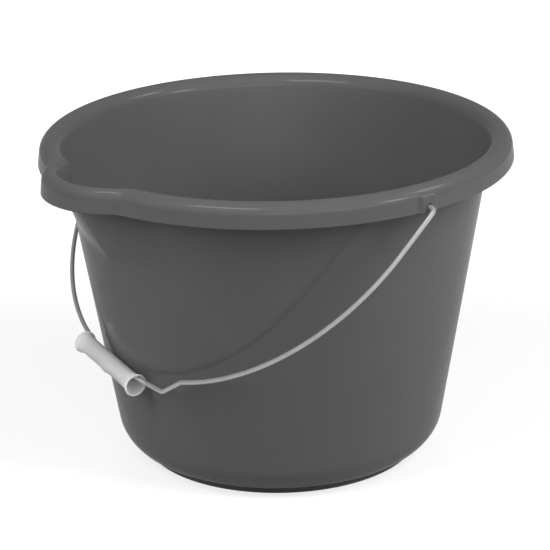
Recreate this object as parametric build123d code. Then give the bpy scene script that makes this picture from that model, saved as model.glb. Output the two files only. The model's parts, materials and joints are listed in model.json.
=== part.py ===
"""Plastic bucket with a pouring spout, a wire bail and a loose hand grip. Sizes are in millimetres.

Frame: origin on the floor at the middle of the foot, +Z up, ears on +X and -X, spout towards -Y.
The bail is stored leaning on the wall under the spout, where it rests in use.
"""

import os
from math import acos, atan, atan2, cos, degrees, hypot, radians, sin, sqrt, tan

from build123d import *

# Driving dimensions of the moulded body: wall, base and foot
HEIGHT = 244.0
RIM_RADIUS = 175.0
WALL = 2.2
WALL_DRAFT = 9.4
BASE_CORNER = 28.0
FOOT_RADIUS = 104.2
FOOT_HEIGHT = 2.6
FOOT_WIDTH = 4.0
FOOT_ROUND = 0.8

# Rolled rim with its skirt
RIM_INNER_ROLL = 10.0
RIM_OUTER_ROLL = 8.3
RIM_LEG = 12.0
SKIRT_DEPTH = 17.0
SKIRT_LEAN = 6.6
SKIRT_ROUND = 0.7

# Spout, in plan on the crest of the rim, then the spread and the depth at which it runs out in the wall
SPOUT_REACH = 17.9
SPOUT_NOSE = 52.5
SPOUT_FLANK = 49.0
SPOUT_BLEND = 12.0
SPOUT_SPREAD = 25.0
SPOUT_SHOULDER = 4.0
SPOUT_DEPTH = 58.0
SPOUT_DIP = 9.7
SPOUT_MARGIN = 6.0

# Ear pads on the skirt
EAR_DROP = 12.8
EAR_WIDTH = 17.0
EAR_TOP = 3.0
EAR_BELOW = 5.2
EAR_STAND = 1.3
EAR_DEPTH = 5.0
EAR_ROUND = 2.2
EAR_HOLE = 4.4
PIN_GAP = 0.05

# Bail of round wire
WIRE = 3.4
BAIL_CLEARANCE = 6.2
BAIL_LEG = 34.3
BAIL_LEAN = 5.0
HOOK_LENGTH = 8.0
HOOK_INSET = 9.0
HOOK_BEND = 4.0
JOG_REACH = 62.2
JOG_START = 18.0
JOG_ANGLE = 48.0
JOG_RUN = 13.8
JOG_BEND = 4.0

# Grip tube on the bail
GRIP_LENGTH = 81.0
GRIP_RADIUS = 6.7
GRIP_WALL = 0.9
FLARE_RADIUS = 9.05
MOUTH_RADIUS = 7.4
FLARE_LENGTH = 10.0
LIP_ROUND = 0.7
GRIP_PLAY = 0.3
MOUTH_GAP = 0.25
REST_GAP = 0.3

# Fineness of the searches for the places of the grip and the bail
SAMPLES = 80
HALVINGS = 40


def plan(angle, radius, centre=(0.0, 0.0)):
    """Point in plan, at an angle in degrees from the spout's direction towards +X."""
    turn = radians(angle)
    return (centre[0] + radius * sin(turn), centre[1] - radius * cos(turn))


# Rim section: offsets are measured outwards from the crest, heights from the floor
LEAN = radians(SKIRT_LEAN)
DRAFT = radians(WALL_DRAFT)
STEP = WALL / cos(DRAFT)
roll_out = (RIM_OUTER_ROLL * cos(LEAN), RIM_OUTER_ROLL * (sin(LEAN) - 1))
skirt_out = roll_out[0] + (SKIRT_DEPTH + roll_out[1]) * tan(LEAN)
CREST = RIM_RADIUS - skirt_out
wall_top = STEP - RIM_INNER_ROLL * (1 / cos(DRAFT) - tan(DRAFT))


def wall_offset(depth):
    """Outer face of the plain wall at a depth below the top, as an offset from the crest."""
    return wall_top - depth * tan(DRAFT)


def wall_radius(z):
    """Outer radius of the plain wall at a height above the floor."""
    return CREST + wall_offset(HEIGHT - z)


def roll(radius, angle, thickness=0.0):
    """Point on a roll of the rim whose top is the crest, at an angle above the horizontal."""
    turn = radians(angle)
    reach = radius - thickness
    return (reach * cos(turn), reach * sin(turn) - radius)


def rim_section(leg):
    """Face of the rim and the wall under it, down to a depth, with the crest at the origin."""
    inner, outer = RIM_INNER_ROLL, RIM_OUTER_ROLL
    turn_in, turn_out = 180 - WALL_DRAFT, SKIRT_LEAN
    half_in, half_out = (turn_in + 90) / 2, (turn_out + 90) / 2
    edges = [
        Line((wall_offset(leg) - STEP, -leg), roll(inner, turn_in)),
        ThreePointArc(roll(inner, turn_in), roll(inner, half_in), (0, 0)),
        ThreePointArc((0, 0), roll(outer, half_out), roll(outer, turn_out)),
        Line(roll(outer, turn_out), (skirt_out, -SKIRT_DEPTH)),
        Line((skirt_out, -SKIRT_DEPTH), (skirt_out - WALL / cos(LEAN), -SKIRT_DEPTH)),
        Line((skirt_out - WALL / cos(LEAN), -SKIRT_DEPTH), roll(outer, turn_out, WALL)),
        ThreePointArc(roll(outer, turn_out, WALL), roll(outer, half_out, WALL), (0, -WALL)),
        ThreePointArc((0, -WALL), roll(inner, half_in, WALL), roll(inner, turn_in, WALL)),
        Line(roll(inner, turn_in, WALL), (wall_offset(leg), -leg)),
        Line((wall_offset(leg), -leg), (wall_offset(leg) - STEP, -leg)),
    ]
    face = make_face(edges)
    edge = [v for v in face.vertices() if abs(v.Y + SKIRT_DEPTH) < SKIRT_ROUND and v.X > 0]
    return fillet(edge, SKIRT_ROUND)


# Plan of the spout: nose arc, straight flanks, and a hollow blend into the round rim
nose_centre = (0.0, -(CREST + SPOUT_REACH - SPOUT_NOSE))
flank_reach = -nose_centre[1] * cos(radians(SPOUT_FLANK)) + SPOUT_NOSE
blend_turn = acos((flank_reach + SPOUT_BLEND) / (CREST + SPOUT_BLEND))
SPOUT_ENDS = SPOUT_FLANK - degrees(blend_turn)
SPOUT_SPAN = SPOUT_SPREAD + SPOUT_SHOULDER
blend_centre = plan(SPOUT_ENDS, CREST + SPOUT_BLEND)


def spout_points(offset):
    """Right half of the spout's plan at an offset from the crest, from the round rim to the nose."""
    middle = (SPOUT_ENDS + SPOUT_FLANK) / 2
    hollow = offset - SPOUT_BLEND
    return [
        plan(SPOUT_ENDS, hollow, blend_centre),
        plan(middle, hollow, blend_centre),
        plan(SPOUT_FLANK, hollow, blend_centre),
        plan(SPOUT_FLANK, SPOUT_NOSE + offset, nose_centre),
        plan(SPOUT_FLANK / 2, SPOUT_NOSE + offset, nose_centre),
        plan(0, SPOUT_NOSE + offset, nose_centre),
    ]


def mouth_edges(offset, z):
    """Spout's plan at the foot of the rim section with the wall beside it, from +X to -X."""
    p = [(x, y, z) for x, y in spout_points(offset)]
    shoulder = [(*plan(a, CREST + offset), z) for a in (SPOUT_SPAN, (SPOUT_SPAN + SPOUT_ENDS) / 2)]
    half = [
        ThreePointArc(*shoulder, p[0]),
        ThreePointArc(p[0], p[1], p[2]),
        Line(p[2], p[3]),
        ThreePointArc(p[3], p[4], p[5]),
    ]
    return half + [edge.mirror(Plane.YZ) for edge in reversed(half)]


def run_out(angle):
    """Depth at which the spout runs out in the wall, deepest under the nose."""
    return SPOUT_DEPTH + SPOUT_DIP * (1 - angle / SPOUT_SPREAD) ** 2


def wall_edges(offset, inset, depth_at):
    """Edges on the plain wall under each edge of the spout's plan, from +X to -X."""
    corners = [spout_points(offset)[i] for i in (0, 2, 3, 5)]
    spread = SPOUT_SPREAD / SPOUT_ENDS
    angles = [SPOUT_SPAN] + [spread * degrees(atan2(x, -y)) for x, y in corners]

    def on_wall(angle):
        depth = depth_at(angle)
        return (*plan(angle, CREST + wall_offset(depth) - inset), HEIGHT - depth)

    half = [
        ThreePointArc(on_wall(a), on_wall((a + b) / 2), on_wall(b))
        for a, b in zip(angles, angles[1:])
    ]
    return half + [edge.mirror(Plane.YZ) for edge in reversed(half)]


def ring(outer, inner):
    """Closed wire from two runs of edges, joined at their ends."""
    ends = [Line(outer[i] @ 0, inner[i] @ 0) for i in (0, -1)]
    return Wire([*outer, *inner, *ends])


def rim_turn(radius, centre, start, sweep, leg=RIM_LEG):
    """Rim section turned about an upright axis, a hollow bend having a negative radius."""
    face = Plane.XZ * Pos(radius, HEIGHT) * rim_section(leg)
    return Pos(*centre) * Rot(0, 0, start) * revolve(face, Axis.Z, sweep)


# Moulded body: round wall and base, then the rim, the spout and the ear pads
spout_foot = SPOUT_DEPTH + SPOUT_DIP + SPOUT_MARGIN
z_foot = HEIGHT - spout_foot
base_out = wall_radius(FOOT_HEIGHT)
base_in = wall_radius(FOOT_HEIGHT + WALL) - STEP
shell = make_face(
    Polyline(
        (0, FOOT_HEIGHT),
        (base_out, FOOT_HEIGHT),
        (wall_radius(z_foot), z_foot),
        (wall_radius(z_foot) - STEP, z_foot),
        (base_in, FOOT_HEIGHT + WALL),
        (0, FOOT_HEIGHT + WALL),
        close=True,
    )
)
corner_out = shell.vertices().sort_by_distance((base_out, FOOT_HEIGHT))[0]
shell = fillet(corner_out, BASE_CORNER)
corner_in = shell.vertices().sort_by_distance((base_in, FOOT_HEIGHT + WALL))[0]
shell = fillet(corner_in, BASE_CORNER - WALL)
corner_start = base_out - BASE_CORNER * tan((radians(90) - DRAFT) / 2)
corner_reach = FOOT_RADIUS - corner_start
corner_rise = BASE_CORNER - sqrt(BASE_CORNER**2 - corner_reach**2) if corner_reach > 0 else 0.0
foot_top = FOOT_HEIGHT + corner_rise + WALL / 4
foot = Pos(FOOT_RADIUS - FOOT_WIDTH / 2, foot_top / 2) * Rectangle(FOOT_WIDTH, foot_top)
foot = fillet(foot.vertices().group_by(Axis.Y)[0], FOOT_ROUND)
base = Rot(0, 0, -90) * (revolve(Plane.XZ * shell) + revolve(Plane.XZ * foot))

round_rim = rim_turn(CREST, (0, 0), SPOUT_SPAN - 90, 360 - 2 * SPOUT_SPAN, spout_foot)
shoulder = rim_turn(CREST, (0, 0), SPOUT_ENDS - 90, SPOUT_SPAN - SPOUT_ENDS)
nose = rim_turn(SPOUT_NOSE, nose_centre, -90 - SPOUT_FLANK, 2 * SPOUT_FLANK)
blend = rim_turn(-SPOUT_BLEND, blend_centre, SPOUT_ENDS - 90, SPOUT_FLANK - SPOUT_ENDS)
flank_start, flank_end = [spout_points(0)[i] for i in (2, 3)]
flank_run = hypot(flank_start[0] - flank_end[0], flank_start[1] - flank_end[1])
outward = (*plan(SPOUT_FLANK, 1), 0)
along = (outward[1], -outward[0], 0)
flank_plane = Plane((*flank_start, HEIGHT), x_dir=outward, z_dir=along)
flank = extrude(flank_plane * rim_section(RIM_LEG), flank_run)
lip = wall_offset(RIM_LEG)
z_lip = HEIGHT - RIM_LEG
chute = Solid.make_loft(
    [
        ring(mouth_edges(lip, z_lip), mouth_edges(lip - STEP, z_lip)),
        ring(wall_edges(lip, 0, run_out), wall_edges(lip - STEP, STEP, run_out)),
        ring(
            wall_edges(lip, 0, lambda angle: spout_foot),
            wall_edges(lip - STEP, STEP, lambda angle: spout_foot),
        ),
    ],
    ruled=True,
)
sides = [shoulder, blend, flank]
sides += [mirror(side, Plane.YZ) for side in sides]
body = round_rim + [chute, nose, *sides] + base

z_ear = HEIGHT - EAR_DROP
pad_top, pad_foot = HEIGHT - EAR_TOP, z_ear - EAR_BELOW
pad = Box(EAR_DEPTH, EAR_WIDTH, pad_top - pad_foot)
pad = Pos(RIM_RADIUS + EAR_STAND - EAR_DEPTH / 2, 0, (pad_top + pad_foot) / 2) * pad
pad = fillet(pad.faces().sort_by(Axis.X)[-1].edges(), EAR_ROUND)
hole = Pos(RIM_RADIUS, 0, z_ear) * Rot(0, 90, 0) * Cylinder(EAR_HOLE / 2, 2 * EAR_DEPTH)
body = body + [pad, mirror(pad, Plane.YZ)]
body = body - [hole, mirror(hole, Plane.YZ)]

# Centre line of the bail in its own plane: X across the ears, Y away from the hinge line
z_pin = z_ear - (EAR_HOLE - WIRE) / 2 + PIN_GAP
bail_reach = RIM_RADIUS + EAR_STAND + BAIL_CLEARANCE
hook_x = RIM_RADIUS - HOOK_INSET
bail_lean = radians(BAIL_LEAN)
leg_end = bail_reach - HOOK_BEND * (1 - cos(bail_lean)) - BAIL_LEG * sin(bail_lean)
bow = (leg_end - JOG_REACH) / (cos(bail_lean) - sin(radians(JOG_START)))
at, heading = Vector(hook_x, HOOK_LENGTH), Vector(0, -1)
steps = [
    HOOK_LENGTH - HOOK_BEND,
    (90, HOOK_BEND),
    bail_reach - hook_x - 2 * HOOK_BEND,
    (90 + BAIL_LEAN, HOOK_BEND),
    BAIL_LEG,
    (90 - BAIL_LEAN - JOG_START, bow),
    (JOG_START - JOG_ANGLE, JOG_BEND),
    JOG_RUN,
    (JOG_ANGLE, JOG_BEND),
]
half_bail = []
for step in steps:
    if isinstance(step, tuple):
        turn, bend = step
        edge = JernArc(at, heading, bend, turn)
    else:
        edge = Line(at, at + heading * step)
    half_bail.append(edge)
    at, heading = edge @ 1, edge % 1
seat = at
other_half = [edge.mirror(Plane.YZ) for edge in half_bail]
centre_line = Wire([*half_bail, Line(seat, (-seat.X, seat.Y)), *other_half])
wire = sweep(Plane(centre_line ^ 0) * Circle(WIRE / 2), centre_line)

# Grip lying askew on the bail: its bore rests on the wire at one jog and near the other mouth
bore = GRIP_RADIUS - GRIP_WALL
swing = bore - WIRE / 2 - GRIP_PLAY


def bell_bend(rise):
    """Radius of the bend by which an end of the grip opens by a rise."""
    return (FLARE_LENGTH**2 + rise**2) / (2 * rise)


flare_bend = bell_bend(FLARE_RADIUS - GRIP_RADIUS)
mouth_bend = bell_bend(MOUTH_RADIUS - bore)


def last_good(good, low, high):
    """Largest value between two limits that passes a test, found by halving."""
    for _ in range(HALVINGS):
        middle = (low + high) / 2
        low, high = (middle, high) if good(middle) else (low, middle)
    return low


def grip_axis(overrun):
    """Frame of the grip with X along it, when its mouth has run past the seat by a length."""
    askew = atan(2 * swing / (GRIP_LENGTH - FLARE_LENGTH - overrun))
    along = Vector(cos(askew), sin(askew))
    side = Vector(-sin(askew), cos(askew))
    start = Vector(-seat.X, seat.Y) - along * overrun - side * swing
    return Plane(start, x_dir=along, z_dir=(0, 0, 1))


def jog_gap(overrun):
    """Smallest gap between the wire at the jog and the mouth of the grip."""
    gaps = []
    for edge in other_half[-3:]:
        for i in range(SAMPLES + 1):
            point = grip_axis(overrun).to_local_coords(edge @ (i / SAMPLES))
            if -WIRE / 2 < point.X < FLARE_LENGTH:
                off_bend = hypot(point.X - FLARE_LENGTH, abs(point.Y) - bore - mouth_bend)
                gaps.append(off_bend - mouth_bend - WIRE / 2)
    return min(gaps, default=GRIP_LENGTH)


grip_frame = grip_axis(last_good(lambda run: jog_gap(run) > MOUTH_GAP, 0, GRIP_LENGTH / 4))


def flare(t, radius=GRIP_RADIUS, bend=flare_bend):
    """Radius of the grip, outside or in its bore, at a distance from its nearer end."""
    inside = max(FLARE_LENGTH - t, 0.0)
    return radius + bend - sqrt(bend**2 - inside**2)


def grip_edges(radius, bend):
    """Outer or inner line of the grip, from end to end."""
    middle, far = FLARE_LENGTH / 2, GRIP_LENGTH
    mouth, half_way = flare(0, radius, bend), flare(middle, radius, bend)
    return [
        ThreePointArc((0, mouth), (middle, half_way), (FLARE_LENGTH, radius)),
        Line((FLARE_LENGTH, radius), (far - FLARE_LENGTH, radius)),
        ThreePointArc((far - FLARE_LENGTH, radius), (far - middle, half_way), (far, mouth)),
    ]


outer_line, inner_line = grip_edges(GRIP_RADIUS, flare_bend), grip_edges(bore, mouth_bend)
near_lip = Line(outer_line[0] @ 0, inner_line[0] @ 0)
far_lip = Line(outer_line[-1] @ 1, inner_line[-1] @ 1)
profile = make_face([*outer_line, *inner_line, near_lip, far_lip])
lips = profile.vertices().group_by(Axis.X)
profile = fillet([*lips[0], *lips[-1]], LIP_ROUND)
tube = grip_frame * revolve(profile, Axis.X)


def rest_plane(lean):
    """Plane of the bail when it hangs at an angle below the horizontal, towards the spout."""
    turn = radians(lean)
    return Plane((0, 0, z_pin), x_dir=(1, 0, 0), z_dir=(0, sin(turn), -cos(turn)))


def grip_point(lean, t):
    """Point on the axis of the grip, at a distance from its start, with the bail at an angle."""
    return rest_plane(lean).from_local_coords(grip_frame.from_local_coords((t, 0, 0)))


def wall_gap(lean):
    """Smallest gap between the grip and the wall with the bail at an angle."""
    gaps = []
    along = grip_point(lean, 1) - grip_point(lean, 0)
    for i in range(SAMPLES + 1):
        t = GRIP_LENGTH * i / SAMPLES
        point = grip_point(lean, t)
        radius = hypot(point.X, point.Y)
        off_wall = (radius - wall_radius(point.Z)) * cos(DRAFT)
        out = Vector(point.X, point.Y, -radius * tan(DRAFT)).normalized()
        gaps.append(off_wall - flare(min(t, GRIP_LENGTH - t)) * sqrt(1 - out.dot(along) ** 2))
    return min(gaps)


# Lean of the bail at rest: the grip stops a small gap short of the wall
lean_at_rest = last_good(lambda lean: wall_gap(lean) > REST_GAP, 0, 90)
rest = rest_plane(lean_at_rest)

os.makedirs("parts", exist_ok=True)
export_step(body, "parts/bucket_body.step")
export_step(rest * wire, "parts/wire_bail.step")
export_step(rest * tube, "parts/hand_grip.step")
print("hinge line at z", z_pin, "lean at rest", lean_at_rest)
print("grip axis from", grip_point(lean_at_rest, 0), "to", grip_point(lean_at_rest, GRIP_LENGTH))
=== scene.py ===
"""Looks of the plastic bucket: the moulded body, the wire bail and the hand grip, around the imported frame."""

import json
from math import asin, atan2, cos, hypot, pi, radians, sin, sqrt, tan

import bpy
from mathutils import Matrix, Vector


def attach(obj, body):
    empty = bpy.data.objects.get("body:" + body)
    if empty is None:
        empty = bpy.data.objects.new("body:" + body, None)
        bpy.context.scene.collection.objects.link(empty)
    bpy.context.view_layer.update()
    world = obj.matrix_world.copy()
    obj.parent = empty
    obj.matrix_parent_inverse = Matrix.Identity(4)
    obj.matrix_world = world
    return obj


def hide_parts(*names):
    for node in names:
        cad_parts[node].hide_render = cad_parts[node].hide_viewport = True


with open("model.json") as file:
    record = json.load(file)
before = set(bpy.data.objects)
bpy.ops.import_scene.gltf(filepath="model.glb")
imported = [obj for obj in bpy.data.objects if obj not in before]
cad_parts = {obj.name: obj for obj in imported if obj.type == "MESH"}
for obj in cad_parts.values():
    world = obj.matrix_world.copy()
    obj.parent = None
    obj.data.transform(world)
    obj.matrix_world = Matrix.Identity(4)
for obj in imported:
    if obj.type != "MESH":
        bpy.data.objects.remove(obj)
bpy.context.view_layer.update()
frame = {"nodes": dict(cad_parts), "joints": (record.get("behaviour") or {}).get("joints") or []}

# Bucket body: one injection moulding of dark grey polypropylene, a tapered wall with a rolled rim and skirt.
# The spout is drawn out of the wall and the rim, and the ears are pads on the skirt with a hole for the bail.
# It is made as a toolmaker turns it: the section is spun about the axis, then the spout is drawn out.
MM = 0.001
HEIGHT = 244 * MM
RIM_RADIUS = 175 * MM
WALL = 2.2 * MM
DRAFT = radians(9.4)
BASE_CORNER = 28 * MM
FOOT_RADIUS = 104.2 * MM
FOOT_HEIGHT = 2.6 * MM
FOOT_WIDTH = 4 * MM
FOOT_ROUND = 0.8 * MM
INNER_ROLL = 10 * MM
OUTER_ROLL = 8.3 * MM
SKIRT_DEPTH = 17 * MM
SKIRT_LEAN = radians(6.6)
SKIRT_ROUND = 0.7 * MM
RIGHT_ANGLE = pi / 2
SPIN_STEPS = 420
FLOOR_STEPS = 6
CORNER_STEPS = 10
WALL_STEPS = 40
ROLL_STEPS = 12
UNDER_ROLL_STEPS = 8
SKIRT_STEPS_OUT = 5
SKIRT_STEPS_IN = 4
EDGE_STEPS = 3
MERGE = 0.01 * MM

step = WALL / cos(DRAFT)
skirt_top = OUTER_ROLL * (1 - sin(SKIRT_LEAN))
skirt_out = OUTER_ROLL * cos(SKIRT_LEAN) + (SKIRT_DEPTH - skirt_top) * tan(SKIRT_LEAN)
crest = RIM_RADIUS - skirt_out
wall_top = crest + step - INNER_ROLL * (1 / cos(DRAFT) - tan(DRAFT))


def wall_radius(z):
    """Outer radius of the plain wall at a height."""
    return wall_top - (HEIGHT - z) * tan(DRAFT)


def arc(centre, radius, start, end, count):
    """Points of an arc in the section, as (radius, height)."""
    turns = [start + (end - start) * i / count for i in range(count + 1)]
    return [(centre[0] + radius * cos(a), centre[1] + radius * sin(a)) for a in turns]


def run(start, end, count):
    """Points between two points of the section, without its ends."""
    shares = [i / count for i in range(1, count)]
    return [tuple(a + (b - a) * s for a, b in zip(start, end)) for s in shares]


def spun(name, section, axis, steps):
    """New piece: a vertex is extruded along a section, and the section is spun about an axis."""
    bpy.ops.object.select_all(action="DESELECT")
    bpy.ops.mesh.primitive_plane_add(size=WALL)
    piece = bpy.context.object
    piece.name = name
    bpy.ops.object.mode_set(mode="EDIT")
    bpy.ops.mesh.select_mode(type="VERT")
    bpy.ops.mesh.merge(type="CENTER")
    bpy.ops.transform.translate(value=section[0])
    for a, b in zip(section, section[1:]):
        move = {"value": Vector(b) - Vector(a)}
        bpy.ops.mesh.extrude_region_move(TRANSFORM_OT_translate=move)
    bpy.ops.mesh.select_all(action="SELECT")
    bpy.ops.mesh.spin(steps=steps, angle=2 * pi, center=(0, 0, 0), axis=axis)
    bpy.ops.mesh.select_all(action="SELECT")
    bpy.ops.mesh.remove_doubles(threshold=MERGE)
    bpy.ops.mesh.normals_make_consistent(inside=False)
    bpy.ops.object.mode_set(mode="OBJECT")
    return piece


inside_radius = BASE_CORNER - WALL
floor_top = FOOT_HEIGHT + WALL
corner_fall = tan((RIGHT_ANGLE - DRAFT) / 2)
corner_z = FOOT_HEIGHT + BASE_CORNER
inner_corner = (wall_radius(floor_top) - step - inside_radius * corner_fall, corner_z)
outer_corner = (wall_radius(FOOT_HEIGHT) - BASE_CORNER * corner_fall, corner_z)
inner_centre = (crest, HEIGHT - INNER_ROLL)
outer_centre = (crest, HEIGHT - OUTER_ROLL)
skirt_foot = HEIGHT - SKIRT_DEPTH
foot_inside = FOOT_RADIUS - FOOT_WIDTH
ring_out = -RIGHT_ANGLE + asin((FOOT_RADIUS - outer_corner[0]) / BASE_CORNER)
ring_in = -RIGHT_ANGLE + asin((foot_inside - outer_corner[0]) / BASE_CORNER)

floor_inside = arc(inner_corner, inside_radius, -RIGHT_ANGLE, -DRAFT, CORNER_STEPS)
rim_inside = arc(inner_centre, INNER_ROLL, pi - DRAFT, RIGHT_ANGLE, ROLL_STEPS)
rim_outside = arc(outer_centre, OUTER_ROLL, RIGHT_ANGLE, SKIRT_LEAN, ROLL_STEPS)
skirt_edge_out = (crest + skirt_out - SKIRT_ROUND, skirt_foot + SKIRT_ROUND)
skirt_edge_in = (crest + skirt_out - WALL / cos(SKIRT_LEAN) + SKIRT_ROUND, skirt_foot + SKIRT_ROUND)
skirt_out_edge = arc(skirt_edge_out, SKIRT_ROUND, 0, -RIGHT_ANGLE, EDGE_STEPS)
skirt_in_edge = arc(skirt_edge_in, SKIRT_ROUND, -RIGHT_ANGLE, -pi, EDGE_STEPS)
rim_under_out = arc(outer_centre, OUTER_ROLL - WALL, SKIRT_LEAN, RIGHT_ANGLE, UNDER_ROLL_STEPS)
rim_under_in = arc(inner_centre, INNER_ROLL - WALL, RIGHT_ANGLE, pi - DRAFT, UNDER_ROLL_STEPS)
wall_foot = arc(outer_corner, BASE_CORNER, -DRAFT, ring_out, CORNER_STEPS)
ring_edge_out = arc((FOOT_RADIUS - FOOT_ROUND, FOOT_ROUND), FOOT_ROUND, 0, -RIGHT_ANGLE, EDGE_STEPS)
ring_edge_in = arc((foot_inside + FOOT_ROUND, FOOT_ROUND), FOOT_ROUND, -RIGHT_ANGLE, -pi, EDGE_STEPS)
underside = arc(outer_corner, BASE_CORNER, ring_in, -RIGHT_ANGLE, EDGE_STEPS)

section = [(0, floor_top), *run((0, floor_top), floor_inside[0], FLOOR_STEPS)]
section += [*floor_inside, *run(floor_inside[-1], rim_inside[0], WALL_STEPS)]
section += [*rim_inside, *rim_outside[1:], *run(rim_outside[-1], skirt_out_edge[0], SKIRT_STEPS_OUT)]
section += [*skirt_out_edge, *skirt_in_edge, *run(skirt_in_edge[-1], rim_under_out[0], SKIRT_STEPS_IN)]
section += [*rim_under_out, *rim_under_in[1:], *run(rim_under_in[-1], wall_foot[0], WALL_STEPS)]
section += [*wall_foot, *ring_edge_out, *ring_edge_in, *underside]
section += [*run(underside[-1], (0, FOOT_HEIGHT), FLOOR_STEPS), (0, FOOT_HEIGHT)]
body = spun("bucket_moulding", [(r, 0, z) for r, z in section], (0, 0, 1), SPIN_STEPS)

# Spout: part of the same polypropylene moulding, shaped by a nose in the mould. The rim is pushed out in a
# round lobe, which runs out in the wall below in a soft crease. The lobe meets the round rim in a tight
# hollow on each side, and its rim is narrower, for a clean pour.
SPOUT_REACH = 17.4 * MM
SPOUT_NOSE = 52.0 * MM
SPOUT_PINCH = 3.6 * MM
SPOUT_HOLLOW_OUT = 5.0 * MM
SPOUT_HOLLOW_IN = 1.2 * MM
SPOUT_TOP = 12 * MM
SPOUT_ENDS = radians(16)
SPOUT_SPREAD = radians(25)
SPOUT_MARGIN = 1.2
SPOUT_DEPTH = 58 * MM
SPOUT_DIP = 9.7 * MM
SPOUT_CUTS = 1
CREASE_SOFT = 0.1
nose_middle = crest + SPOUT_REACH - SPOUT_NOSE


def angle_from_spout(x, y):
    """Angle in plan from the middle of the spout."""
    return abs(atan2(x, -y))


def cut_finer(piece, wanted, cuts):
    """Faces of a piece that a test wants are subdivided."""
    bpy.ops.object.mode_set(mode="EDIT")
    bpy.ops.mesh.select_mode(type="FACE")
    bpy.ops.mesh.select_all(action="DESELECT")
    bpy.ops.object.mode_set(mode="OBJECT")
    for face in piece.data.polygons:
        face.select = wanted(*face.center)
    bpy.ops.object.mode_set(mode="EDIT")
    bpy.ops.mesh.subdivide(number_cuts=cuts)
    bpy.ops.object.mode_set(mode="OBJECT")


def soft_max(a, b, width):
    """Larger of two values, with the corner between them rounded off over a width."""
    near = max(width - abs(a - b), 0) / width
    return max(a, b) + near * near * width / 4


def nose_push(turn, inward):
    """Push at an angle from the spout's middle, for a share of the way in from the skirt to the wall."""
    nose = SPOUT_NOSE + SPOUT_PINCH * inward
    hollow = SPOUT_HOLLOW_OUT + (SPOUT_HOLLOW_IN - SPOUT_HOLLOW_OUT) * inward
    aside = nose_middle * sin(turn)
    lobe = nose_middle * cos(turn) + sqrt(max(nose**2 - aside**2, 0))
    return soft_max(lobe - crest, 0, hollow)


def spout_push(turn, radius, depth):
    """Push at a point of the plain moulding, whole on the rim and fading out down the wall."""
    inward = min(max((RIM_RADIUS - radius) / (skirt_out + INNER_ROLL), 0), 1)
    near = max(1 - turn / SPOUT_SPREAD, 0)
    fall = SPOUT_DEPTH + SPOUT_DIP * near**2 - SPOUT_TOP
    share = max((depth - SPOUT_TOP) / fall, 0) if radius < crest else 0
    spread = 1 + (SPOUT_SPREAD / SPOUT_ENDS - 1) * min(share, 1)
    return nose_push(turn / spread, inward) * min(soft_max(1 - share, 0, CREASE_SOFT), 1)


def in_spout(x, y, z):
    """Whether a point is on the rim or the wall where the spout is drawn out."""
    return angle_from_spout(x, y) < SPOUT_SPREAD and HEIGHT - z < SPOUT_DEPTH + SPOUT_DIP


cut_finer(body, in_spout, SPOUT_CUTS)
for vertex in body.data.vertices:
    x, y, z = vertex.co
    radius = hypot(x, y)
    if radius > MERGE and angle_from_spout(x, y) < SPOUT_SPREAD * SPOUT_MARGIN:
        grow = 1 + spout_push(angle_from_spout(x, y), radius, HEIGHT - z) / radius
        vertex.co = (x * grow, y * grow, z)

# Ears: a flat pad on the skirt at each side, of the same polypropylene and moulded with it. A round hole
# goes right through and takes the hooked end of the bail. The pad stands out from the round skirt, and
# its foot hangs a little below the skirt's edge.
EAR_DROP = 12.8 * MM
EAR_WIDTH = 17 * MM
EAR_TOP = 4.2 * MM
EAR_STAND = 1.3 * MM
EAR_LIP = 1.3 * MM
EAR_SOFT = 3.0 * MM
EAR_HOLE = 4.4 * MM
EAR_SIDES = 46
EAR_CUTS = 2
pad_face = RIM_RADIUS + EAR_STAND


def in_ear(x, y, z):
    """Whether a point is on the rim near an ear."""
    return abs(y) < EAR_WIDTH and abs(x) > crest and z > skirt_foot - WALL


def ramp(value, start, end):
    """Smooth rise from 0 to 1 between two values."""
    share = min(max((value - start) / (end - start), 0), 1)
    return share * share * (3 - 2 * share)


def skirt_face(depth):
    """Outer radius of the rim and its skirt at a depth below the crest."""
    if depth < skirt_top:
        return crest + sqrt(max(OUTER_ROLL**2 - (OUTER_ROLL - depth) ** 2, 0))
    return crest + OUTER_ROLL * cos(SKIRT_LEAN) + (depth - skirt_top) * tan(SKIRT_LEAN)


cut_finer(body, in_ear, EAR_CUTS)
for vertex in body.data.vertices:
    x, y, z = vertex.co
    depth = HEIGHT - z
    if abs(y) > EAR_WIDTH or depth > SKIRT_DEPTH + WALL or hypot(x, y) < crest:
        continue
    across = 1 - ramp(abs(y), EAR_WIDTH / 2 - EAR_SOFT, EAR_WIDTH / 2)
    side = 1 if x > 0 else -1
    face = skirt_face(min(depth, SKIRT_DEPTH))
    if hypot(x, y) > face - WALL / 2:
        stand = across * ramp(depth, EAR_TOP - EAR_SOFT / 2, EAR_TOP + EAR_SOFT / 2)
        x += side * max(pad_face - sqrt(face**2 - y**2), 0) * stand
    drop = EAR_LIP * across * ramp(depth, EAR_DROP, SKIRT_DEPTH)
    vertex.co = (x, y, z - drop)

for side in (1, -1):
    bpy.ops.object.select_all(action="DESELECT")
    bpy.ops.mesh.primitive_cylinder_add(
        vertices=EAR_SIDES,
        radius=EAR_HOLE / 2,
        depth=EAR_WIDTH,
        location=(side * RIM_RADIUS, 0, HEIGHT - EAR_DROP),
        rotation=(0, RIGHT_ANGLE, 0),
    )
    drill = bpy.context.object
    bpy.context.view_layer.objects.active = body
    cut = body.modifiers.new("ear_hole", "BOOLEAN")
    cut.object = drill
    cut.operation = "DIFFERENCE"
    bpy.ops.object.modifier_apply(modifier=cut.name)
    bpy.data.objects.remove(drill)

SMOOTH_ANGLE = radians(35)
bpy.ops.object.select_all(action="DESELECT")
body.select_set(True)
bpy.context.view_layer.objects.active = body
bpy.ops.object.shade_smooth_by_angle(angle=SMOOTH_ANGLE)


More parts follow.
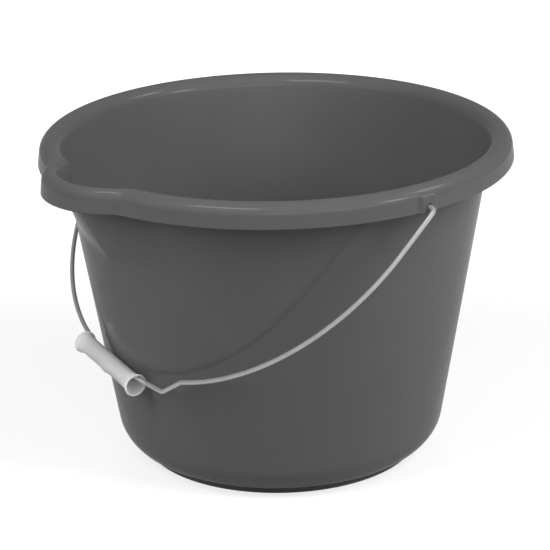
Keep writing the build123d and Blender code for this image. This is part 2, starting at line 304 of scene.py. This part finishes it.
def linear(code):
    """Linear colour from an sRGB hex code."""
    parts = [int(code[i : i + 2], 16) / 255 for i in (1, 3, 5)]
    parts = [p / 12.92 if p <= 0.04045 else ((p + 0.055) / 1.055) ** 2.4 for p in parts]
    return (*parts, 1)


def add_node(tree, kind, links=(), **settings):
    """New node in a tree: settings by name, inputs by socket name, and links into its sockets."""
    node = tree.nodes.new(kind)
    for name, value in settings.pop("inputs", {}).items():
        node.inputs[name].default_value = value
    for name, value in settings.items():
        setattr(node, name, value)
    for name, source in dict(links).items():
        tree.links.new(source, node.inputs[name])
    return node


def new_material(name):
    """New material, with its node tree, its shader and its Object coordinates."""
    material = bpy.data.materials.new(name)
    material.use_nodes = True
    tree = material.node_tree
    shader = tree.nodes["Principled BSDF"]
    place = add_node(tree, "ShaderNodeTexCoord").outputs["Object"]
    return material, tree, shader, place


# Polypropylene moulded in a fine-sparked tool: an even dark grey with a soft gloss, slightly clouded in the
# colour. A shallow pebble, drawn coarser than a spark's so that it shows, breaks up the highlights, and
# rubbed patches are a little smoother.
CLOUD = 60 * MM
PEBBLE = 0.9 * MM
RUB = 14 * MM
polypropylene, tree, shader, place = new_material("moulded_polypropylene")
cloud = add_node(
    tree,
    "ShaderNodeTexNoise",
    {"Vector": place},
    inputs={"Scale": 1 / CLOUD, "Detail": 3.0, "Roughness": 0.6},
)
shade = add_node(
    tree,
    "ShaderNodeMix",
    {"Factor": cloud.outputs["Fac"]},
    data_type="RGBA",
)
shade.inputs["A"].default_value = linear("#4F4F4F")
shade.inputs["B"].default_value = linear("#565656")
tree.links.new(shade.outputs["Result"], shader.inputs["Base Color"])
rub = add_node(
    tree,
    "ShaderNodeTexNoise",
    {"Vector": place},
    inputs={"Scale": 1 / RUB, "Detail": 4.0, "Roughness": 0.55},
)
gloss = add_node(
    tree,
    "ShaderNodeMapRange",
    {"Value": rub.outputs["Fac"]},
    inputs={"From Min": 0.3, "From Max": 0.7, "To Min": 0.10, "To Max": 0.15},
)
tree.links.new(gloss.outputs["Result"], shader.inputs["Roughness"])
pebble = add_node(
    tree,
    "ShaderNodeTexNoise",
    {"Vector": place},
    inputs={"Scale": 1 / PEBBLE, "Detail": 2.0},
)
bump = add_node(
    tree,
    "ShaderNodeBump",
    {"Height": pebble.outputs["Fac"]},
    inputs={"Strength": 0.06, "Distance": 0.2 * MM},
)
tree.links.new(bump.outputs["Normal"], shader.inputs["Normal"])
shader.inputs["IOR"].default_value = 1.49
shader.inputs["Specular IOR Level"].default_value = 0.35
body.data.materials.append(polypropylene)
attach(body, "bucket")
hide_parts("bucket_body")

# Wire bail: one length of 3.4 mm round steel wire, cut, bent cold in a jig and zinc plated bright.
# Its hooked ends are sprung into the ears from outside, and two jogs keep the grip on the straight seat.
WIRE_GRAIN = 0.8 * MM
WIRE_CLOUD = 9 * MM
CAD_MERGE = MERGE / 10


def merged_copy(node, name):
    """Copy of a CAD node with its loose triangles merged, shaded smooth."""
    piece = bpy.data.objects.new(name, frame["nodes"][node].data.copy())
    bpy.context.scene.collection.objects.link(piece)
    bpy.ops.object.select_all(action="DESELECT")
    piece.select_set(True)
    bpy.context.view_layer.objects.active = piece
    bpy.ops.object.mode_set(mode="EDIT")
    bpy.ops.mesh.select_all(action="SELECT")
    bpy.ops.mesh.remove_doubles(threshold=CAD_MERGE)
    bpy.ops.object.mode_set(mode="OBJECT")
    bpy.ops.object.shade_smooth_by_angle(angle=SMOOTH_ANGLE)
    piece.data.materials.clear()
    return piece


bail = merged_copy("wire_bail", "bail_wire")

# Zinc plated bright on drawn wire: a pale silver grey, slightly clouded, with a fine grain that softens
# what it mirrors. It is set part metallic, to match its pale tone.
zinc, tree, shader, place = new_material("bright_zinc_plate")
tarnish = add_node(
    tree,
    "ShaderNodeTexNoise",
    {"Vector": place},
    inputs={"Scale": 1 / WIRE_CLOUD, "Detail": 4.0},
)
shade = add_node(tree, "ShaderNodeMix", {"Factor": tarnish.outputs["Fac"]}, data_type="RGBA")
shade.inputs["A"].default_value = linear("#C0C0C0")
shade.inputs["B"].default_value = linear("#D6D6D6")
tree.links.new(shade.outputs["Result"], shader.inputs["Base Color"])
grain = add_node(tree, "ShaderNodeTexNoise", {"Vector": place}, inputs={"Scale": 1 / WIRE_GRAIN})
gloss = add_node(
    tree,
    "ShaderNodeMapRange",
    {"Value": grain.outputs["Fac"]},
    inputs={"To Min": 0.16, "To Max": 0.26},
)
tree.links.new(gloss.outputs["Result"], shader.inputs["Roughness"])
shader.inputs["Metallic"].default_value = 0.7
bail.data.materials.append(zinc)
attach(bail, "bail")
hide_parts("wire_bail")

# Hand grip: a pale tube of polyethylene with belled ends, moulded in one shot over a core pin.
# It is threaded on the wire before the second jog is bent, so it turns and slides loosely on the seat.
# The gate of the mould has left a low pad half way along.
GRIP_LENGTH = 81 * MM
GRIP_RADIUS = 6.7 * MM
GRIP_BORE = 5.8 * MM
FLARE_RADIUS = 9.05 * MM
MOUTH_RADIUS = 7.4 * MM
FLARE_LENGTH = 10 * MM
GATE_LENGTH = 10 * MM
GATE_WIDTH = 6 * MM
GATE_RISE = 0.7 * MM
GATE_FLAT = 0.45
GRIP_SIDES = 96
GRIP_STEPS = 70
LIP_STEPS = 8
GRIP_CLOUD = 20 * MM
GRIP_PEBBLE = 0.7 * MM
MILK_DEPTH = 8 * MM


def bell(t, radius, mouth):
    """Radius of the tube, outside or in the bore, at a distance from its nearer end."""
    rise = mouth - radius
    bend = (FLARE_LENGTH**2 + rise**2) / (2 * rise)
    inside = max(FLARE_LENGTH - min(t, GRIP_LENGTH - t), 0)
    return radius + bend - sqrt(bend**2 - inside**2)


lip = (FLARE_RADIUS - MOUTH_RADIUS) / 2
lip_middle = (bell(lip, GRIP_RADIUS, FLARE_RADIUS) + bell(lip, GRIP_BORE, MOUTH_RADIUS)) / 2
lip_round = (bell(lip, GRIP_RADIUS, FLARE_RADIUS) - bell(lip, GRIP_BORE, MOUTH_RADIUS)) / 2
places = [t for t, _ in run((lip, 0), (GRIP_LENGTH - lip, 0), GRIP_STEPS)]
tube = [(t, bell(t, GRIP_RADIUS, FLARE_RADIUS)) for t in places]
tube += arc((GRIP_LENGTH - lip, lip_middle), lip_round, RIGHT_ANGLE, -RIGHT_ANGLE, LIP_STEPS)
tube += [(t, bell(t, GRIP_BORE, MOUTH_RADIUS)) for t in reversed(places)]
tube += arc((lip, lip_middle), lip_round, -RIGHT_ANGLE, -3 * RIGHT_ANGLE, LIP_STEPS)
tube += tube[:1]
grip = spun("grip_tube", [(t, 0, r) for t, r in tube], (1, 0, 0), GRIP_SIDES)
for vertex in grip.data.vertices:
    t, y, z = vertex.co
    off = hypot((t - GRIP_LENGTH / 2) / (GATE_LENGTH / 2), y / (GATE_WIDTH / 2))
    if z > GRIP_BORE and off < 1:
        vertex.co.z += GATE_RISE * (1 - ramp(off, GATE_FLAT, 1))

spin = next(joint for joint in frame["joints"] if joint["name"] == "grip_spin")
along = Vector(spin["axis"]).normalized()
gate_side = Vector((0, -1, -1))
gate_up = (gate_side - along * gate_side.dot(along)).normalized()
turned = Matrix((along, gate_up.cross(along), gate_up)).transposed().to_4x4()
grip.data.transform(Matrix.Translation(spin["pos_m"]) @ turned)
bpy.ops.object.shade_smooth_by_angle(angle=SMOOTH_ANGLE)

# Polyethylene moulded in its natural colour: a milky white, slightly clouded, with a dull sheen and a fine
# pebbled skin. Light goes a little way in, which softens its shading.
polyethylene, tree, shader, place = new_material("moulded_polyethylene")
milk = add_node(
    tree,
    "ShaderNodeTexNoise",
    {"Vector": place},
    inputs={"Scale": 1 / GRIP_CLOUD, "Detail": 3.0},
)
shade = add_node(tree, "ShaderNodeMix", {"Factor": milk.outputs["Fac"]}, data_type="RGBA")
shade.inputs["A"].default_value = linear("#E6E6E6")
shade.inputs["B"].default_value = linear("#EEEEEE")
tree.links.new(shade.outputs["Result"], shader.inputs["Base Color"])
skin = add_node(tree, "ShaderNodeTexNoise", {"Vector": place}, inputs={"Scale": 1 / GRIP_PEBBLE})
bump = add_node(
    tree,
    "ShaderNodeBump",
    {"Height": skin.outputs["Fac"]},
    inputs={"Strength": 0.05, "Distance": 0.2 * MM},
)
tree.links.new(bump.outputs["Normal"], shader.inputs["Normal"])
shader.inputs["Roughness"].default_value = 0.42
shader.inputs["IOR"].default_value = 1.52
shader.inputs["Subsurface Weight"].default_value = 1
shader.inputs["Subsurface Radius"].default_value = (1, 1, 1)
shader.inputs["Subsurface Scale"].default_value = MILK_DEPTH
grip.data.materials.append(polyethylene)
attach(grip, "grip")
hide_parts("hand_grip")

# Studio: a pale paper floor that keeps the shadow and looks white, in a surround that reflections see dimmer.
# Broad softboxes in front, at both sides and behind light the bucket and stay out of its reflections.
# Small strips make the highlights, and a soft reflector stands in front.
FLOOR_SIZE = 12.0
FLOOR_NEAR = 2 * RIM_RADIUS
FLOOR_GLOW = 0.70
FLOOR_FAR = 1.1
FLOOR_SHEEN = 0.1
WORLD_LIGHT = 0.06
HORIZON_LIGHT = 0.25
FRONT_TURN = radians(54)
FRONT_LIGHT = 0.4
FRONT_EDGE = 0.1
FRONT_FULL = 0.7
CEILING_FOOT = radians(14)
CEILING_LIGHT = 0.14


def seen_by(tree, *kinds):
    """Whether a ray is of one of these kinds of Light Path, as 0 or 1."""
    path = add_node(tree, "ShaderNodeLightPath")
    seen = path.outputs[kinds[0]]
    for kind in kinds[1:]:
        both = add_node(tree, "ShaderNodeMath", operation="MAXIMUM")
        tree.links.new(seen, both.inputs[0])
        tree.links.new(path.outputs[kind], both.inputs[1])
        seen = both.outputs["Value"]
    return seen


bpy.ops.object.select_all(action="DESELECT")
bpy.ops.mesh.primitive_plane_add(size=FLOOR_SIZE)
floor = bpy.context.object
floor.name = "studio_floor"

# Matt paper: an even pale grey that takes the shadow. The camera sees it glow up to white away from the
# bucket, and reflections see it much dimmer.
pale_paper, tree, shader, place = new_material("pale_paper")
shader.inputs["Base Color"].default_value = linear("#969696")
shader.inputs["Roughness"].default_value = 0.9
shader.inputs["Specular IOR Level"].default_value = 0
shader.inputs["Emission Color"].default_value = linear("#FFFFFF")
from_middle = add_node(tree, "ShaderNodeVectorMath", {"Vector": place}, operation="LENGTH")
paper_glow = add_node(
    tree,
    "ShaderNodeMapRange",
    {"Value": from_middle.outputs["Value"]},
    interpolation_type="SMOOTHSTEP",
    inputs={"From Min": FLOOR_NEAR, "From Max": FLOOR_FAR, "To Min": FLOOR_GLOW, "To Max": 1.0},
)
floor_mirrored = add_node(
    tree,
    "ShaderNodeMapRange",
    {"Value": seen_by(tree, "Is Glossy Ray", "Is Transmission Ray")},
    inputs={"To Max": FLOOR_SHEEN},
)
glow = add_node(
    tree,
    "ShaderNodeMapRange",
    {
        "Value": seen_by(tree, "Is Camera Ray"),
        "To Min": floor_mirrored.outputs["Result"],
        "To Max": paper_glow.outputs["Result"],
    },
)
tree.links.new(glow.outputs["Result"], shader.inputs["Emission Strength"])
floor.data.materials.append(pale_paper)

world = bpy.data.worlds.new("pale_studio")
bpy.context.scene.world = world
world.use_nodes = True
tree = world.node_tree
background = tree.nodes["Background"]
background.inputs["Color"].default_value = linear("#FFFFFF")
outward = add_node(tree, "ShaderNodeTexCoord").outputs["Generated"]
outward_parts = add_node(tree, "ShaderNodeSeparateXYZ", {"Vector": outward})
ceiling = add_node(
    tree,
    "ShaderNodeMapRange",
    {"Value": outward_parts.outputs["Z"]},
    interpolation_type="SMOOTHSTEP",
    inputs={"From Max": sin(CEILING_FOOT), "To Min": HORIZON_LIGHT, "To Max": CEILING_LIGHT},
)
frontward = add_node(tree, "ShaderNodeVectorMath", operation="DOT_PRODUCT")
tree.links.new(outward, frontward.inputs[0])
frontward.inputs[1].default_value = (sin(FRONT_TURN), -cos(FRONT_TURN), 0)
reflector = add_node(
    tree,
    "ShaderNodeMapRange",
    {"Value": frontward.outputs["Value"], "To Min": ceiling.outputs["Result"]},
    interpolation_type="SMOOTHSTEP",
    inputs={"From Min": FRONT_EDGE, "From Max": FRONT_FULL, "To Max": FRONT_LIGHT},
)
surround_mirrored = add_node(
    tree,
    "ShaderNodeMapRange",
    {"Value": seen_by(tree, "Is Glossy Ray", "Is Transmission Ray"), "To Max": reflector.outputs["Result"]},
    inputs={"To Min": WORLD_LIGHT},
)
strength = add_node(
    tree,
    "ShaderNodeMapRange",
    {"Value": seen_by(tree, "Is Camera Ray"), "To Min": surround_mirrored.outputs["Result"]},
    inputs={"To Max": 1.0},
)
tree.links.new(strength.outputs["Result"], background.inputs["Strength"])

# A lamp's turn from -Y towards +X and its rise in degrees, its distance and its size in metres, its power
# in watts, and whether reflections show it.
LAMPS = {
    "front_softbox": (54, 26, 2.2, (1.2, 1.2), 4, False),
    "right_softbox": (116, 39, 2.1, (0.9, 1.5), 46, False),
    "left_softbox": (-4, 40, 2.1, (0.9, 1.5), 36, False),
    "back_softbox": (234, 15, 2.2, (0.8, 0.8), 17, False),
    "key_strip": (20, 62, 2.0, (0.8, 0.3), 3.2, True),
    "front_strip": (74, 24, 2.0, (2.0, 0.15), 2.0, True),
    "right_strip": (112, 34, 2.1, (0.4, 0.3), 2.0, True),
    "back_strip": (150, 50, 2.0, (0.4, 0.4), 1.6, True),
}
aim = Vector((0, 0, HEIGHT / 2))
for name, (turn, climb, reach, size, power, glare) in LAMPS.items():
    lamp = bpy.data.lights.new(name, "AREA")
    lamp.shape = "RECTANGLE"
    lamp.size, lamp.size_y = size
    lamp.energy = power
    holder = bpy.data.objects.new(name, lamp)
    holder.visible_glossy = glare
    bpy.context.scene.collection.objects.link(holder)
    level = reach * cos(radians(climb))
    spot = Vector((level * sin(radians(turn)), -level * cos(radians(turn)), reach * sin(radians(climb))))
    aimed = (aim - spot).to_track_quat("-Z", "Y").to_matrix().to_4x4()
    holder.matrix_world = Matrix.Translation(spot) @ aimed

# Camera: a long lens, from the front right and above.
# Its place and its angles are worked out from the ellipses of the rim and the foot.
CAMERA_AZIMUTH = radians(54.0)
CAMERA_DISTANCE = 1633.8 * MM
CAMERA_HEIGHT = 727.6 * MM
CAMERA_PITCH = 0.3498
CAMERA_YAW = 0.0015
CAMERA_ROLL = -0.0192
FOCAL_PIXELS = 2311.9
PHOTO_PIXELS = 550
SENSOR = 36
lens = bpy.data.cameras.new("photo_lens")
lens.sensor_width = SENSOR
lens.sensor_fit = "HORIZONTAL"
lens.lens = FOCAL_PIXELS * SENSOR / PHOTO_PIXELS
camera = bpy.data.objects.new("photo_camera", lens)
bpy.context.scene.collection.objects.link(camera)
tripod = (CAMERA_DISTANCE * sin(CAMERA_AZIMUTH), -CAMERA_DISTANCE * cos(CAMERA_AZIMUTH), CAMERA_HEIGHT)
pan = Matrix.Rotation(CAMERA_AZIMUTH + CAMERA_YAW, 4, "Z")
tilt = Matrix.Rotation(RIGHT_ANGLE - CAMERA_PITCH, 4, "X")
roll = Matrix.Rotation(CAMERA_ROLL, 4, "Z")
camera.matrix_world = Matrix.Translation(tripod) @ pan @ tilt @ roll
bpy.context.scene.camera = camera
bpy.context.scene.view_settings.view_transform = "Standard"
